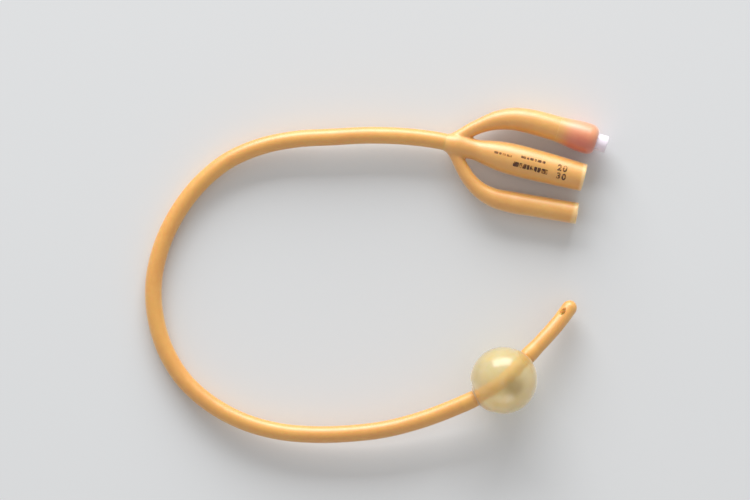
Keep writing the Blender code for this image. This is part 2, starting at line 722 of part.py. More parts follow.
def make_spring(collection, material):
    # Closed coils stand on the retainer and press on the plunger's head.
    low = RETAINER_OUTER + SPRING_WIRE / 2 + VALVE_GAP
    high = HEAD_INNER - SPRING_WIRE / 2 - VALVE_GAP
    radius = (SPRING_DIAMETER - SPRING_WIRE) / 2
    count = round(SPRING_TURNS * POINTS_PER_TURN)
    places = []
    for index in range(count + 1):
        turn = 2 * math.pi * index / POINTS_PER_TURN
        height = mix(low, high, index / count)
        places.append((radius * math.cos(turn), radius * math.sin(turn), height))
    return sweep("valve_spring", places, [SPRING_WIRE / 2] * len(places), 6, collection, material)


def main():
    for thing in list(bpy.data.objects):
        bpy.data.objects.remove(thing)
    parts = bpy.data.collections.new("foley_catheter")
    cutters = bpy.data.collections.new("cutters")
    for collection in (parts, cutters):
        bpy.context.scene.collection.children.link(collection)

    latex = new_material("amber_latex", (0.72, 0.38, 0.11), 0.32)
    skin = new_material("balloon_latex", (0.69, 0.6, 0.28), 0.2)
    pink = new_material("pink_latex", (0.8, 0.3, 0.2), 0.35)
    white = new_material("white_plastic", (0.85, 0.84, 0.88), 0.3)
    rubber = new_material("grey_rubber", (0.12, 0.12, 0.13), 0.6)
    steel = new_material("spring_steel", (0.6, 0.6, 0.62), 0.3, 1.0)

    route = shaft_route()
    balloon_at = float(route.knot_places[len(ROUTE_FROM_HUB) + len(ROUTE_TO_BALLOON) - 1])
    make_shaft(route, balloon_at, parts, cutters, latex)
    make_balloon(route, balloon_at, parts, cutters, skin)

    # The fill arm runs straight inside its sleeve, and all three mouths end about level.
    fill_arm = arm_path(
        FILL_ARM, DRAIN_LENGTH - FILL_SHORT_OF_DRAIN, FILL_SIDE, -SLEEVE_START, VALVE_ANGLE,
        FILL_HEIGHT, FILL_ROOT_RADIUS, FILL_RADIUS,
    )
    rinse_arm = arm_path(
        RINSE_ARM, DRAIN_LENGTH + RINSE_PAST_DRAIN, RINSE_SIDE, RINSE_STRAIGHT, RINSE_ANGLE,
        RINSE_HEIGHT, RINSE_ROOT_RADIUS, RINSE_RADIUS,
    )
    make_funnel(fill_arm, rinse_arm, parts, cutters, latex)

    # The valve's pieces hang on one empty, whose Z axis points out of the fill arm.
    valve = bpy.data.objects.new("valve_axis", None)
    parts.objects.link(valve)
    valve.location = fill_arm.at(fill_arm.length)
    valve.rotation_euler = (0, math.pi / 2, math.radians(VALVE_ANGLE))
    seal_bore = PLUNGER_STEM / 2 + VALVE_GAP
    retainer = CHAMBER_BORE / 2 - VALVE_GAP
    for piece in (
        make_sleeve(parts, pink),
        make_valve_body(parts, white),
        make_plunger(parts, cutters, white),
        make_ring("valve_seal", SEAL_DIAMETER / 2, seal_bore, SEAL_OUTER, SEAL_THICKNESS, parts, rubber),
        make_ring(
            "spring_retainer", retainer, RETAINER_BORE / 2, RETAINER_OUTER, RETAINER_THICKNESS, parts, white
        ),
        make_spring(parts, steel),
    ):
        piece.parent = valve


main()
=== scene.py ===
import math

import bmesh
import bpy
import numpy as np
from mathutils import Matrix, Vector
from mathutils.bvhtree import BVHTree


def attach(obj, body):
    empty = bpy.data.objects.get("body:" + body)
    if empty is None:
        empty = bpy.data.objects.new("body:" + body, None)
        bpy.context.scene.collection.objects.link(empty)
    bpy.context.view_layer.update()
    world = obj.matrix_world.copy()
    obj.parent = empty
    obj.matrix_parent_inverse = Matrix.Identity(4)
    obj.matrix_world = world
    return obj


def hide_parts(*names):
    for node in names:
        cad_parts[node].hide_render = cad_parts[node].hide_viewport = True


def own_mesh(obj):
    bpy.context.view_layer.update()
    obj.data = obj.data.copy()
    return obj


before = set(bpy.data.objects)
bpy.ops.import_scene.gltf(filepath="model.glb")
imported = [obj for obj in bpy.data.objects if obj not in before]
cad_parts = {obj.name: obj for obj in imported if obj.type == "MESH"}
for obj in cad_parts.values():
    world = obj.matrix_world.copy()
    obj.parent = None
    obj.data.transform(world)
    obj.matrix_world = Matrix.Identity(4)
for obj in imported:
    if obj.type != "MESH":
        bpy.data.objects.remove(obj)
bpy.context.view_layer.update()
scene = bpy.context.scene
mm = 0.001

# Every arm and every mark is measured from the junction, where the shaft leaves the funnel.
junction = {"x": 18.24 * mm, "y": 54.51 * mm, "z": 6.3 * mm}


# shader maths

class Wire:
    # A socket in a sum. Adding, taking away or multiplying wires makes Math nodes.
    def __init__(self, graph, socket):
        self.graph = graph
        self.socket = socket

    def __add__(self, other):
        return self.graph.maths("ADD", self, other)

    def __radd__(self, other):
        return self.graph.maths("ADD", other, self)

    def __sub__(self, other):
        return self.graph.maths("SUBTRACT", self, other)

    def __rsub__(self, other):
        return self.graph.maths("SUBTRACT", other, self)

    def __mul__(self, other):
        return self.graph.maths("MULTIPLY", self, other)

    def __rmul__(self, other):
        return self.graph.maths("MULTIPLY", other, self)


class Graph:
    # A node tree whose new nodes all come from add().
    def __init__(self, owner):
        owner.use_nodes = True
        self.tree = owner.node_tree

    def add(self, kind, settings, values, output=0):
        node = self.tree.nodes.new(kind)
        for name, value in settings.items():
            setattr(node, name, value)
        for name, value in values.items():
            self.feed(node.inputs[name], value)
        return Wire(self, node.outputs[output])

    def maths(self, operation, first, second):
        return self.add("ShaderNodeMath", {"operation": operation}, {0: first, 1: second})

    def feed(self, socket, value):
        if isinstance(value, Wire):
            self.tree.links.new(value.socket, socket)
        elif socket.type == "RGBA":
            socket.default_value = (*value, 1)
        else:
            socket.default_value = value


class Finish(Graph):
    # A material with a Principled shader, patterned in Object coordinates.
    def __init__(self, name):
        self.material = bpy.data.materials.new(name)
        super().__init__(self.material)
        self.shader = self.tree.nodes["Principled BSDF"]
        self.place = self.add("ShaderNodeTexCoord", {}, {}, "Object")

    def noise(self, scale, detail=2.0, roughness=0.5):
        values = {"Vector": self.place, "Scale": scale, "Detail": detail, "Roughness": roughness}
        return self.add("ShaderNodeTexNoise", {}, values)

    def between(self, value, low, high):
        # Goes from 0 to 1 as value goes from low to high, with soft ends.
        values = {"Value": value, "From Min": low, "From Max": high}
        return self.add("ShaderNodeMapRange", {"interpolation_type": "SMOOTHSTEP"}, values)

    def mixed(self, share, first, second):
        values = {0: share, 6: first, 7: second}
        return self.add("ShaderNodeMix", {"data_type": "RGBA"}, values, 2)

    def along(self, origin, direction):
        # Distance from a point along a direction, in metres.
        values = {0: self.place, 1: origin}
        offset = self.add("ShaderNodeVectorMath", {"operation": "SUBTRACT"}, values)
        values = {0: offset, 1: direction}
        return self.add("ShaderNodeVectorMath", {"operation": "DOT_PRODUCT"}, values, "Value")

    def distance(self, origin):
        values = {0: self.place, 1: origin}
        return self.add("ShaderNodeVectorMath", {"operation": "DISTANCE"}, values, "Value")

    def bumps(self, *layers):
        # Each layer is a height, its strength and its depth in metres.
        normal = None
        for height, strength, depth in layers:
            values = {"Height": height, "Strength": strength, "Distance": depth}
            if normal:
                values["Normal"] = normal
            normal = self.add("ShaderNodeBump", {}, values)
        self.feed(self.shader.inputs["Normal"], normal)

    def give(self, **values):
        for name, value in values.items():
            self.feed(self.shader.inputs[name.replace("_", " ")], value)
        return self.material


# camera and light

cameraSetup = {
    "target": (1.25 * mm, 6.3 * mm),    # what the middle of the picture shows
    "roll": 14.4,                       # degrees between the picture's side and the drain funnel
    "width": 296.2 * mm,                # how much the picture takes in, at the height of the shaft
    "height": 2.0,
    "level": 6.3 * mm,
    "sensor": 36.0,
}
lightSetup = {
    "azimuth": 95.0,                    # degrees round from the picture's right, so a little left of up
    "elevation": 19.5,
    "distance": 3.2,
    "size": (3.2, 1.8),
    "power": 146.0,
    "sky": (1.0, 0.98, 0.96),
    "skyStrength": 0.5,
    "backdrop": 0.82,
    "floor": (0.79, 0.81, 0.83),
    "tableHalf": 2.4,
}


def placeCamera(setup):
    data = bpy.data.cameras.new("camera")
    data.sensor_width = setup["sensor"]
    data.lens = setup["sensor"] * (setup["height"] - setup["level"]) / setup["width"]
    camera = bpy.data.objects.new("camera", data)
    camera.location = (*setup["target"], setup["height"])
    camera.rotation_euler = (0, 0, math.radians(setup["roll"]))
    scene.collection.objects.link(camera)
    scene.camera = camera


def placeLights(setup):
    turn = math.radians(setup["azimuth"] + cameraSetup["roll"])
    rise = math.radians(setup["elevation"])
    towards = Vector((math.cos(turn) * math.cos(rise), math.sin(turn) * math.cos(rise), math.sin(rise)))
    data = bpy.data.lights.new("softbox", "AREA")
    data.shape = "RECTANGLE"
    data.size, data.size_y = setup["size"]
    data.energy = setup["power"]
    softbox = bpy.data.objects.new("softbox", data)
    softbox.location = Vector((*cameraSetup["target"], 0)) + towards * setup["distance"]
    softbox.rotation_euler = (-towards).to_track_quat("-Z", "Y").to_euler()
    scene.collection.objects.link(softbox)

    # The sky lights softly, and is paler past the table, in reflections and through clear pieces.
    world = bpy.data.worlds.new("studio")
    graph = Graph(world)
    seen = graph.add("ShaderNodeLightPath", {}, {}, "Is Camera Ray")
    rays = seen.socket.node.outputs
    mirrored = Wire(graph, rays["Is Glossy Ray"])
    through = Wire(graph, rays["Is Transmission Ray"])
    values = {0: seen + mirrored, 1: through}
    shown = graph.add("ShaderNodeMath", {"operation": "ADD", "use_clamp": True}, values)
    sky = graph.tree.nodes["Background"]
    graph.feed(sky.inputs["Color"], setup["sky"])
    extra = setup["backdrop"] - setup["skyStrength"]
    graph.feed(sky.inputs["Strength"], shown * extra + setup["skyStrength"])
    scene.world = world


placeCamera(cameraSetup)
placeLights(lightSetup)
scene.view_settings.view_transform = "Standard"
print("camera and light placed")


# modelling helpers

def newObject(name, mesh):
    thing = bpy.data.objects.new(name, mesh)
    scene.collection.objects.link(thing)
    return thing


def fromShape(name, shape, weld=0.001 * mm):
    # A finished bmesh becomes an object, its doubles merged and its faces turned outwards.
    bmesh.ops.remove_doubles(shape, verts=shape.verts, dist=weld)
    bmesh.ops.recalc_face_normals(shape, faces=shape.faces)
    mesh = bpy.data.meshes.new(name)
    shape.to_mesh(mesh)
    shape.free()
    return newObject(name, mesh)


def applyAll(thing):
    evaluated = thing.evaluated_get(bpy.context.evaluated_depsgraph_get())
    mesh = bpy.data.meshes.new_from_object(evaluated)
    thing.modifiers.clear()
    old = thing.data
    thing.data = mesh
    bpy.data.meshes.remove(old)
    mesh.name = thing.name
    return thing


def combine(thing, others, operation="DIFFERENCE"):
    for other in others:
        step = thing.modifiers.new(operation.lower(), "BOOLEAN")
        step.operation = operation
        step.object = other
    applyAll(thing)
    for other in others:
        bpy.data.objects.remove(other)
    return thing


def tube(name, places, radii, sides, twist="Z_UP"):
    # A closed round bar through the places, made as a bevelled curve and turned into a mesh.
    curve = bpy.data.curves.new(name, "CURVE")
    curve.dimensions = "3D"
    curve.twist_mode = twist
    curve.bevel_depth = max(radii)
    curve.bevel_resolution = sides // 2 - 2
    curve.use_fill_caps = True
    spline = curve.splines.new("POLY")
    spline.points.add(len(places) - 1)
    for point, place, radius in zip(spline.points, places, radii):
        point.co = (*place, 1)
        point.radius = radius / curve.bevel_depth
    line = newObject(name + "Line", curve)
    evaluated = line.evaluated_get(bpy.context.evaluated_depsgraph_get())
    mesh = bpy.data.meshes.new_from_object(evaluated)
    shape = bmesh.new()
    shape.from_mesh(mesh)
    bpy.data.objects.remove(line)
    bpy.data.curves.remove(curve)
    bpy.data.meshes.remove(mesh)
    return fromShape(name, shape)


def spun(profile, steps):
    # A closed (radius, height) outline spun about Z.
    shape = bmesh.new()
    points = [shape.verts.new((radius, 0, height)) for radius, height in profile]
    edges = [shape.edges.new(pair) for pair in zip(points, points[1:] + points[:1])]
    bmesh.ops.spin(
        shape, geom=points + edges, cent=(0, 0, 0), axis=(0, 0, 1), angle=2 * math.pi,
        steps=steps, use_merge=True,
    )
    return shape


def turned(name, profile, axis, steps=72):
    shape = spun(profile, steps)
    bmesh.ops.transform(shape, matrix=axis, verts=shape.verts)
    return fromShape(name, shape)


def smoothShade(thing, angle):
    thing.data.shade_smooth()
    thing.data.set_sharp_from_angle(angle=math.radians(angle))
    return thing


def arc(centre, across, along, start, end, count):
    spots = [math.radians(start + (end - start) * index / count) for index in range(count + 1)]
    return [(centre[0] + across * math.cos(t), centre[1] + along * math.sin(t)) for t in spots]


def mix(start, end, share):
    return start + (end - start) * share


def ease(share):
    share = min(max(share, 0.0), 1.0)
    return share * share * (3 - 2 * share)


class Line:
    # A smooth line through chosen points, found by distance. Columns past the third ride along.
    def __init__(self, rows, step=0.25 * mm):
        rows = np.array(rows, float)
        chords = np.linalg.norm(np.diff(rows[:, :3], axis=0), axis=1)
        knots = np.concatenate([[0.0], np.cumsum(chords)])
        slopes = np.gradient(rows, knots, axis=0)
        spots = np.linspace(0, knots[-1], int(knots[-1] / step) + 2)
        left = np.clip(np.searchsorted(knots, spots, side="right") - 1, 0, len(chords) - 1)
        span = chords[left][:, None]
        t = (spots[:, None] - knots[left][:, None]) / span
        self.rows = (
            (2 * t**3 - 3 * t**2 + 1) * rows[left]
            + (t**3 - 2 * t**2 + t) * span * slopes[left]
            + (3 * t**2 - 2 * t**3) * rows[left + 1]
            + (t**3 - t**2) * span * slopes[left + 1]
        )
        lengths = np.linalg.norm(np.diff(self.rows[:, :3], axis=0), axis=1)
        self.spots = np.concatenate([[0.0], np.cumsum(lengths)])
        self.length = float(self.spots[-1])
        self.knots = np.interp(knots, spots, self.spots)

    def keepAbove(self, radius):
        self.rows[:, 2] = np.maximum(self.rows[:, 2], radius)
        return self

    def row(self, spot):
        return [float(np.interp(spot, self.spots, column)) for column in self.rows.T]

    def at(self, spot):
        inside = min(max(spot, 0.0), self.length)
        return Vector(self.row(inside)[:3]) + self.tangent(inside) * (spot - inside)

    def tangent(self, spot):
        near = 0.5 * mm
        start = min(max(spot - near, 0.0), self.length - 2 * near)
        return (Vector(self.row(start + 2 * near)[:3]) - Vector(self.row(start)[:3])).normalized()

    def left(self, spot):
        return Vector((0, 0, 1)).cross(self.tangent(spot)).normalized()

    def evenly(self, step, start=0.0, end=None):
        end = self.length if end is None else end
        count = max(2, round((end - start) / step))
        return [mix(start, end, index / count) for index in range(count + 1)]


# shaft

shaft = {
    "diameter": 6.67 * mm,
    "tip": 6.1 * mm,            # diameter past the balloon
    "dome": 3.4 * mm,           # length of the rounded end
    "seat": 5.4 * mm,           # diameter inside the balloon
    "seatHalf": 18.55 * mm,
    "seatSlope": 0.4 * mm,
    "step": 0.8 * mm,
    "sides": 40,
    "domeStep": 6,              # degrees between the dome's rings
    "pole": 0.05 * mm,          # radius of the last ring, which is nearly a point
    "slopeRings": (-0.6, -0.5, -0.25, 0.0, 0.25, 0.5, 0.6),     # across the seat's slope, as shares
    "lumen": 2.3 * mm,
    "lumenShift": -0.2 * mm,    # its middle, measured from the shaft's towards the inside of the C
    "lumenRun": 24.0 * mm,      # it is cut from this far behind the tip up to the first eye
    "lumenStep": 2.0 * mm,
    "lumenSides": 20,
    "cordStep": 3.0 * mm,
}

# Roll is in degrees about the shaft: 0 faces up, and 90 the inside of the C.
eyes = [
    {"fromTip": 6.8 * mm, "roll": 28, "length": 2.5 * mm, "width": 1.6 * mm},
    {"fromTip": 12.1 * mm, "roll": 208, "length": 2.5 * mm, "width": 1.6 * mm},
    {"fromTip": 16.1 * mm, "roll": 90, "length": 2.0 * mm, "width": 1.2 * mm},
]
eyeSides = 32

# An eye's rings outward: height as a share of the tip's radius, and size as a share of the eye's.
eyeRings = [(0.0, 0.9), (0.55, 0.9), (0.76, 1.0), (0.88, 1.16), (0.98, 1.46), (1.07, 1.9)]

# The route, in metres: from the socket in the hub round the C, then to the balloon, then to the tip.
routeToBalloon = [
    (0.02244, 0.05451, 0.00630),
    (0.01624, 0.05446, 0.00630),
    (0.00824, 0.05371, 0.00639),
    (0.00124, 0.05261, 0.00651),
    (-0.01256, 0.04951, 0.00669),
    (-0.02616, 0.04531, 0.00660),
    (-0.03986, 0.04091, 0.00609),
    (-0.05266, 0.03471, 0.00529),
    (-0.06376, 0.02611, 0.00440),
    (-0.07216, 0.01481, 0.00369),
    (-0.07786, 0.00171, 0.00333),
    (-0.08076, -0.01209, 0.00333),
    (-0.08056, -0.02639, 0.00333),
    (-0.07666, -0.03999, 0.00333),
    (-0.06936, -0.05239, 0.00333),
    (-0.05896, -0.06239, 0.00373),
    (-0.04646, -0.06879, 0.00462),
    (-0.03276, -0.07219, 0.00562),
    (-0.01846, -0.07259, 0.00641),
    (-0.00456, -0.07039, 0.00710),
    (0.00914, -0.06649, 0.00770),
    (0.02254, -0.06129, 0.00839),
    (0.03504, -0.05439, 0.00928),
    (0.04664, -0.04629, 0.01067),
    (0.05544, -0.03909, 0.01206),
    (0.06304, -0.03079, 0.01325),
]
routeToTip = [
    (0.06934, -0.02009, 0.01256),
    (0.07444, -0.01119, 0.01057),
    (0.07824, -0.00399, 0.00829),
    (0.08134, 0.00331, 0.00581),
    (0.08234, 0.00601, 0.00502),
]
route = Line(routeToBalloon + routeToTip).keepAbove(shaft["diameter"] / 2)
balloonAt = float(route.knots[len(routeToBalloon) - 1])


def shaftRadius(spot):
    # Full size, thinner where the balloon sits, then the tip's size up to the dome.
    left = route.length - spot
    if left < shaft["dome"]:
        share = 1 - max(left, 0.0) / shaft["dome"]
        return max(shaft["pole"], shaft["tip"] / 2 * math.sqrt(max(0.0, 1 - share * share)))
    slope = shaft["seatSlope"]
    body = mix(shaft["diameter"], shaft["tip"], ease((spot - balloonAt) / (2 * slope)))
    inSeat = ease((shaft["seatHalf"] - abs(spot - balloonAt)) / slope)
    return mix(body, shaft["seat"], inSeat) / 2


def makeShaft():
    domeStart = route.length - shaft["dome"]
    spots = route.evenly(shaft["step"], 0.0, domeStart)
    for side in (-1, 1):    # more rings where the balloon's seat steps down
        seatEnd = balloonAt + side * (shaft["seatHalf"] - shaft["seatSlope"] / 2)
        spots += [seatEnd + shaft["seatSlope"] * share for share in shaft["slopeRings"]]
    spots.sort()
    for rise in range(shaft["domeStep"], 91, shaft["domeStep"]):
        spots.append(route.length - shaft["dome"] * (1 - math.sin(math.radians(rise))))
    places = [route.at(spot) for spot in spots]
    piece = tube("shaftTube", places, [shaftRadius(spot) for spot in spots], shaft["sides"])

    cutters = []
    lumenStart = route.length - shaft["lumenRun"]
    run = route.evenly(shaft["lumenStep"], lumenStart, route.length - eyes[0]["fromTip"])
    places = [route.at(spot) + route.left(spot) * shaft["lumenShift"] for spot in run]
    cutters.append(tube("lumen", places, [shaft["lumen"] / 2] * len(places), shaft["lumenSides"]))
    for eye in eyes:
        cutters.append(eyeCutter(eye))
    combine(piece, cutters)
    return smoothShade(piece, angle=50)


def eyeCutter(eye):
    # An oval plug from the shaft's middle out through the wall, flared where it meets the surface.
    spot = route.length - eye["fromTip"]
    tangent = route.tangent(spot)
    left = route.left(spot)
    up = tangent.cross(left)
    turn = math.radians(eye["roll"])
    outward = up * math.cos(turn) + left * math.sin(turn)
    surface = shaft["tip"] / 2
    shape = bmesh.new()
    loops = []
    for height, swell in eyeRings:
        made = bmesh.ops.create_circle(shape, cap_ends=False, segments=eyeSides, radius=0.5)
        size = (eye["length"] * swell, eye["width"] * swell, 1)
        bmesh.ops.scale(shape, verts=made["verts"], vec=size)
        bmesh.ops.translate(shape, verts=made["verts"], vec=(0, 0, height * surface))
        loops.append({edge for vert in made["verts"] for edge in vert.link_edges})
    for first, second in zip(loops, loops[1:]):
        bmesh.ops.bridge_loops(shape, edges=list(first | second))
    bmesh.ops.contextual_create(shape, geom=list(loops[0]))
    bmesh.ops.contextual_create(shape, geom=list(loops[-1]))
    axes = Matrix((tangent, outward.cross(tangent), outward)).transposed().to_4x4()
    bmesh.ops.transform(shape, matrix=Matrix.Translation(route.at(spot)) @ axes, verts=shape.verts)
    return fromShape("eye", shape)


# balloon

balloon = {
    "radius": 13.25 * mm,
    "wall": 0.35 * mm,
    "cuffEnd": 18.9 * mm,
    "cuffRadius": 3.3 * mm,
    "cuffEdge": 0.03 * mm,      # how proud the feathered edge stands of the shaft
    "feather": 4.0 * mm,
    "neck": 1.2 * mm,           # fills the corner between the ball and a cuff
    "fit": 0.01 * mm,
    "bareAt": 1.0 * mm,         # how far past a cuff the bare shaft's radius is read
    # Nearer the shaft than the first of these, the wall starts to follow it, and fully at the second.
    "bend": (9.0 * mm, 5.0 * mm),
    "steps": 96,
    "arcStep": 3,               # degrees between the ball's rings
    "cuffRings": 28,
}


def filled(first, second, blend):
    # The larger of the two, with the corner between them filled.
    near = max(blend - abs(first - second), 0.0)
    return max(first, second) + near * near / (4 * blend)


def wallOutline(side, inside):
    # Half of the wall, from the ball's widest ring to a cuff's edge, as (radius, height).
    ball = balloon["radius"] - (balloon["wall"] if inside else 0.0)
    heights = [ball * math.sin(math.radians(angle)) for angle in range(0, 91, balloon["arcStep"])]
    count = balloon["cuffRings"]
    heights += [mix(ball, balloon["cuffEnd"], index / count) for index in range(1, count + 1)]
    bare = shaftRadius(balloonAt + side * (balloon["cuffEnd"] + balloon["bareAt"]))
    edge = bare + balloon["cuffEdge"]
    outline = []
    for height in heights:
        sphere = math.sqrt(max(ball**2 - height**2, 0.0))
        if inside:
            radius = max(sphere, shaftRadius(balloonAt + side * height) + balloon["fit"])
        else:
            thick = ease((balloon["cuffEnd"] - height) / balloon["feather"])
            radius = filled(sphere, mix(edge, balloon["cuffRadius"], thick), balloon["neck"])
        outline.append((radius, side * height))
    return outline


def makeBalloon():
    # The wall is spun straight, and its rings are then set along the shaft.
    profile = wallOutline(-1, False)[::-1] + wallOutline(1, False)[1:]
    profile += wallOutline(1, True)[::-1] + wallOutline(-1, True)[1:]
    shape = spun(profile, balloon["steps"])
    cuffStart = balloon["radius"] + balloon["neck"] / 2
    for face in shape.faces:    # the cuffs take the second material
        face.material_index = int(abs(face.calc_center_median().z) > cuffStart)
    middle = route.at(balloonAt)
    straight = route.tangent(balloonAt)
    start, full = balloon["bend"]
    for vert in shape.verts:
        height = vert.co.z
        follow = ease((start - math.hypot(vert.co.x, vert.co.y)) / (start - full))
        centre = (middle + straight * height).lerp(route.at(balloonAt + height), follow)
        forward = straight.lerp(route.tangent(balloonAt + height), follow).normalized()
        left = Vector((0, 0, 1)).cross(forward).normalized()
        vert.co = centre + left * vert.co.x + forward.cross(left) * vert.co.y
    return smoothShade(fromShape("balloonSkin", shape), angle=50)


# funnel

funnel = {
    "sides": 40,
    "step": 0.8 * mm,
    "voxel": 0.34 * mm,
    "smoothing": 8,             # rounds of it, which fill the corners between the arms
    "softness": 0.5,
    "straightPoints": (0.33, 0.67, 1.0),    # along an arm's straight end, as shares of it
    "boreStep": 1.2 * mm,
    "overcut": 1.0 * mm,        # how far a bore's cutter reaches past the mouth
}

# Rows are (x, y, height, radius) in millimetres, x and y from the junction.
drainRows = [
    (-1.5, 0.0, 6.3, 3.02),
    (-0.7, 0.0, 6.3, 3.42),
    (0.6, 0.0, 6.3, 3.85),
    (2.8, 0.0, 6.3, 4.5),
    (7.2, 0.0, 6.3, 4.3),
    (11.5, 0.0, 6.3, 4.15),
    (16.6, 0.0, 6.3, 5.1),
    (20.9, 0.0, 6.3, 5.82),
    (25.1, 0.0, 6.3, 6.2),
    (28.5, 0.0, 6.3, 6.3),
    (38.1, 0.0, 6.3, 6.18),
    (47.8, 0.0, 6.3, 5.86),
    (56.0, 0.0, 6.3, 5.5),
]
fillRows = [
    (1.0, 0.3, 6.3, 2.75),
    (5.0, 4.2, 6.3, 2.75),
    (7.7, 6.9, 6.3, 2.8),
    (11.4, 9.9, 6.28, 3.03),
    (17.3, 13.5, 6.24, 3.85),
    (23.1, 15.5, 6.2, 4.5),
    (29.5, 16.2, 6.16, 4.87),
    (35.4, 16.2, 6.12, 5.0),
    (41.23, 16.0, 6.1, 5.05),
]
rinseRows = [
    (1.0, -0.4, 6.3, 2.6),
    (4.1, -3.4, 6.3, 2.6),
    (8.1, -8.0, 6.2, 2.7),
    (12.4, -12.1, 5.9, 2.9),
    (17.6, -15.1, 5.5, 3.31),
    (23.0, -16.5, 5.1, 3.82),
    (30.0, -16.5, 4.3, 4.3),
]

# The bores, in millimetres. An arm's straight end has a length and an angle in degrees.
drainBore = {
    "start": 4.5,
    "wide": 28.5,
    "mouth": 56.0,
    "radii": (1.15, 3.85, 4.15),    # at those three places
    "rings": 48,
    "sides": 40,
}
fillEnd = {
    "length": 13.6,
    "angle": -3.5,
    "socket": 3.0,              # radius round the valve's stem
    "depth": 12.4,
    "lumen": 0.5,
    "lumenFrom": 8.0,
    "overlap": 0.5,             # how far the lumen reaches into the socket
    "sides": 36,
    "lumenSides": 16,
}
rinseEnd = {
    "length": 27.0,
    "angle": 4.7,
    "from": 12.0,
    "root": 0.9,
    "bore": 3.25,
    "flare": 20.0,              # how long the bore takes to widen from root to bore
    "socket": 12.0,
    "sides": 36,
}


def fromJunction(x, y, z):
    return (junction["x"] + x * mm, junction["y"] + y * mm, z * mm)


def armLine(rows, length=0.0, angle=0.0):
    rows = list(rows)
    x0, y0, z0, radius = rows[-1]
    turn = math.radians(angle)
    if length:
        for share in funnel["straightPoints"]:
            ahead = math.cos(turn) * length * share
            aside = math.sin(turn) * length * share
            rows.append((x0 + ahead, y0 + aside, z0, radius))
    line = Line([(*fromJunction(*row[:3]), row[3] * mm) for row in rows])
    return line.keepAbove(line.rows[:, 3])


drainLine = armLine(drainRows)
fillLine = armLine(fillRows, fillEnd["length"], fillEnd["angle"])
rinseLine = armLine(rinseRows, rinseEnd["length"], rinseEnd["angle"])


def armTube(name, line):
    spots = line.evenly(funnel["step"])
    radii = [line.row(spot)[3] for spot in spots]
    return tube(name, [line.at(spot) for spot in spots], radii, funnel["sides"])


def cutDrain():
    # Widens along the belly, then a little more up to the mouth.
    narrow, belly, mouth = [radius * mm for radius in drainBore["radii"]]
    end = drainBore["mouth"] + funnel["overcut"] / mm
    places = []
    radii = []
    for index in range(drainBore["rings"] + 1):
        x = mix(drainBore["start"], end, index / drainBore["rings"])
        inner = ease((x - drainBore["start"]) / (drainBore["wide"] - drainBore["start"]))
        outer = max(0.0, (x - drainBore["wide"]) / (drainBore["mouth"] - drainBore["wide"]))
        places.append(fromJunction(x, 0.0, junction["z"] / mm))
        radii.append(mix(narrow, belly, inner) + (mouth - belly) * min(outer, 1.0))
    return tube("drainBore", places, radii, drainBore["sides"])


def cutRinse():
    flare = rinseEnd["flare"] * mm
    socketStart = rinseLine.length - rinseEnd["socket"] * mm
    end = rinseLine.length + funnel["overcut"]
    spots = rinseLine.evenly(funnel["boreStep"], rinseEnd["from"] * mm, end)
    radii = []
    for spot in spots:
        share = ease((spot - socketStart + flare) / flare)
        radii.append(mix(rinseEnd["root"], rinseEnd["bore"], share) * mm)
    return tube("rinseBore", [rinseLine.at(spot) for spot in spots], radii, rinseEnd["sides"])


def cutFill():
    # The valve's stem sits in a socket, which a narrow lumen feeds.
    floor = fillLine.length - fillEnd["depth"] * mm
    places = [fillLine.at(floor), fillLine.at(fillLine.length + funnel["overcut"])]
    socket = tube("stemSocket", places, [fillEnd["socket"] * mm] * 2, fillEnd["sides"])
    end = floor + fillEnd["overlap"] * mm
    spots = fillLine.evenly(funnel["boreStep"], fillEnd["lumenFrom"] * mm, end)
    places = [fillLine.at(spot) for spot in spots]
    radii = [fillEnd["lumen"] * mm] * len(places)
    return [socket, tube("fillBore", places, radii, fillEnd["lumenSides"])]


def makeFunnel():
    piece = armTube("funnelBody", drainLine)
    combine(piece, [armTube("fillArm", fillLine), armTube("rinseArm", rinseLine)], "UNION")
    remesh = piece.modifiers.new("even", "REMESH")
    remesh.mode = "VOXEL"
    remesh.voxel_size = funnel["voxel"]
    soften = piece.modifiers.new("soften", "SMOOTH")
    soften.iterations = funnel["smoothing"]
    soften.factor = funnel["softness"]
    applyAll(piece)

    # The bores are cut last, so that their rims stay crisp.
    bores = [cutDrain(), cutRinse()] + cutFill()
    combine(piece, bores)
    return smoothShade(piece, angle=45)


# valve and sleeve, in millimetres along the valve's axis from the end of the inflation arm outward

valveAxis = (
    Matrix.Translation(fillLine.at(fillLine.length))
    @ Matrix.Rotation(math.radians(fillEnd["angle"]), 4, "Z")
    @ Matrix.Rotation(math.pi / 2, 4, "Y")
)
sleeve = {
    "armRadius": 5.02,
    "radius": 6.1,
    "end": 2.2,
    "start": -13.6,
    "edge": 0.16,               # how proud the rolled edge stands of the arm
    "roll": 0.12,               # how much of the length the roll takes
    "inner": (0.12, 0.2),       # the inner face, under the arm's skin and in from the edge
    "endWall": 0.6,
    "shoulder": 3.8,
    "shoulderFrom": 0.35,       # where the shoulder starts to fall, out from the hole
    "hole": 3.42,
    "lip": 0.3,
    "fullness": 1.4,            # above 1, it narrows later
    "rings": 22,
}
valve = {
    "luer": 3.35,
    "reach": 6.6,
    "rounding": 0.4,
    "bore": 2.15,
    "depth": 7.5,
    "taper": 0.06,              # what the bore's diameter loses for each millimetre of depth
    "mouth": (0.2, 0.25),       # how wide and how deep the bore's mouth is bevelled
    "flange": (4.7, 0.3, 1.3),  # radius, and where it starts and ends
    "stem": (2.7, -12.2),       # radius, and where it ends
    "barb": (0.25, 1.8, 0.05),  # height, length, and length of its steep side
    "barbsAt": (-3.5, -7.5),
    "ledge": (1.1, 0.8),        # the hole's radius, and how thick the ledge is
    "chamber": 1.9,
}


def scaled(profile):
    return [(radius * mm, height * mm) for radius, height in profile]


